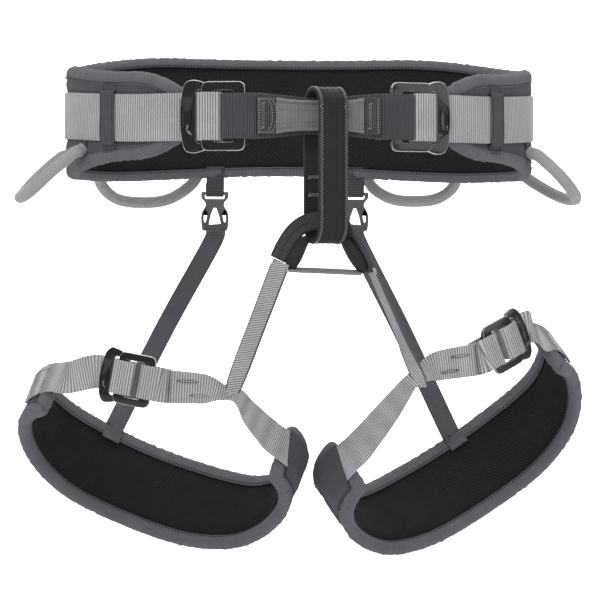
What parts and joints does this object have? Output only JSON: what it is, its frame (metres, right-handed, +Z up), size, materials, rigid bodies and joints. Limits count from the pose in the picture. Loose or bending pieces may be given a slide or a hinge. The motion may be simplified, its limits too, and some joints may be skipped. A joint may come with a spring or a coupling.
{
  "type": "climbing harness",
  "caption": "Climbing sit harness with a padded waist belt, double-back buckles, belay loop, padded leg loops on elastic rear straps, and gear loops.",
  "frame": {"origin": "middle of the waist ring at the belt's mid height, where the wearer's waist is", "axes": "+Z up along the wearer, -Y to the front of the harness, +X to the wearer's left hand"},
  "size_m": [0.4762, 0.2894, 0.4253],
  "materials": {
    "mesh_lining": "open mesh knit",
    "foam": "closed cell foam",
    "pad_fabric": "heathered woven fabric",
    "buckle_metal": "gloss anodised",
    "gear_loop_cord": "corded sleeve",
    "hook_plastic": "moulded",
    "black_webbing": "ribbed webbing",
    "dark_webbing": "ribbed webbing",
    "elastic": "woven elastic",
    "grey_webbing": "webbing",
    "light_webbing": "ribbed webbing"
  },
  "bodies": {
    "root": {"bridge_webbing": "dark_webbing", "cross_strap": "grey_webbing", "front_webbing": "dark_webbing", "left_bridge_sleeve": "black_webbing", "left_hook_tab": "dark_webbing", "left_keeper": "dark_webbing", "left_waist_buckle_frame": "buckle_metal", "right_bridge_sleeve": "black_webbing", "right_hook_tab": "dark_webbing", "right_keeper": "dark_webbing", "right_waist_buckle_frame": "buckle_metal", "tie_in_webbing": "dark_webbing", "waist_binding": "pad_fabric", "waist_cover": "pad_fabric", "waist_foam": "foam", "waist_lining": "mesh_lining", "waist_webbing": "light_webbing"},
    "left_leg_loop": {"left_leg_lining": "mesh_lining", "left_leg_foam": "foam", "left_leg_cover": "pad_fabric", "left_leg_binding": "pad_fabric", "left_leg_outer_strap": "light_webbing", "left_leg_inner_strap": "light_webbing", "left_leg_buckle_frame": "buckle_metal", "left_front_riser": "light_webbing", "left_rear_riser": "elastic", "left_rear_hook": "hook_plastic"},
    "left_waist_slide": {"left_waist_buckle_slide": "buckle_metal"},
    "left_leg_slide": {"left_leg_buckle_slide": "buckle_metal"},
    "right_leg_loop": {"right_leg_lining": "mesh_lining", "right_leg_foam": "foam", "right_leg_cover": "pad_fabric", "right_leg_binding": "pad_fabric", "right_leg_outer_strap": "light_webbing", "right_leg_inner_strap": "light_webbing", "right_leg_buckle_frame": "buckle_metal", "right_front_riser": "light_webbing", "right_rear_riser": "elastic", "right_rear_hook": "hook_plastic"},
    "right_waist_slide": {"right_waist_buckle_slide": "buckle_metal"},
    "right_leg_slide": {"right_leg_buckle_slide": "buckle_metal"},
    "belay": {"belay_loop": "black_webbing"},
    "left_side_loop": {"left_side_gear_loop": "gear_loop_cord"},
    "left_rear_loop": {"left_rear_gear_loop": "gear_loop_cord"},
    "right_side_loop": {"right_side_gear_loop": "gear_loop_cord"},
    "right_rear_loop": {"right_rear_gear_loop": "gear_loop_cord"}
  },
  "joints": [
    {"name": "left_leg_swing", "type": "hinge", "parent": "root", "child": "left_leg_loop", "pos_m": [-0.047, -0.01, -0.0935], "axis": [-0.1071, 0.9564, 0.2716], "range_deg": [0, 16]},
    {"name": "left_waist_slide_travel", "type": "slide", "parent": "root", "child": "left_waist_slide", "axis": [0.9659, -0.2588, 0], "range_m": [0, 0.003]},
    {"name": "left_leg_slide_travel", "type": "slide", "parent": "left_leg_loop", "child": "left_leg_slide", "axis": [0.9268, -0.3384, -0.1625], "range_m": [0, 0.003]},
    {"name": "right_leg_swing", "type": "hinge", "parent": "root", "child": "right_leg_loop", "pos_m": [0.052, -0.01, -0.0935], "axis": [-0.0691, -0.9597, -0.2725], "range_deg": [0, 16]},
    {"name": "right_waist_slide_travel", "type": "slide", "parent": "root", "child": "right_waist_slide", "axis": [-0.9659, -0.2588, 0], "range_m": [0, 0.003]},
    {"name": "right_leg_slide_travel", "type": "slide", "parent": "right_leg_loop", "child": "right_leg_slide", "axis": [-0.8176, -0.4202, -0.3937], "range_m": [0, 0.003]},
    {"name": "belay_turn", "type": "hinge", "parent": "root", "child": "belay", "pos_m": [0.005, -0.135, -0.047], "axis": [0, 0, 1], "range_deg": [-30, 2]},
    {"name": "left_side_loop_tip", "type": "hinge", "parent": "root", "child": "left_side_loop", "pos_m": [-0.18488, -0.00648, -0.033], "axis": [-0.0818, 0.9967, 0], "range_deg": [0, 25]},
    {"name": "left_rear_loop_tip", "type": "hinge", "parent": "root", "child": "left_rear_loop", "pos_m": [-0.11294, 0.09616, -0.035], "axis": [0.8965, 0.4431, 0], "range_deg": [0, 25]},
    {"name": "right_side_loop_tip", "type": "hinge", "parent": "root", "child": "right_side_loop", "pos_m": [0.18163, 0.00422, -0.033], "axis": [0.0544, -0.9985, 0], "range_deg": [0, 25]},
    {"name": "right_rear_loop_tip", "type": "hinge", "parent": "root", "child": "right_rear_loop", "pos_m": [0.10546, 0.10209, -0.035], "axis": [0.9173, -0.3982, 0], "range_deg": [0, 25]}
  ]
}
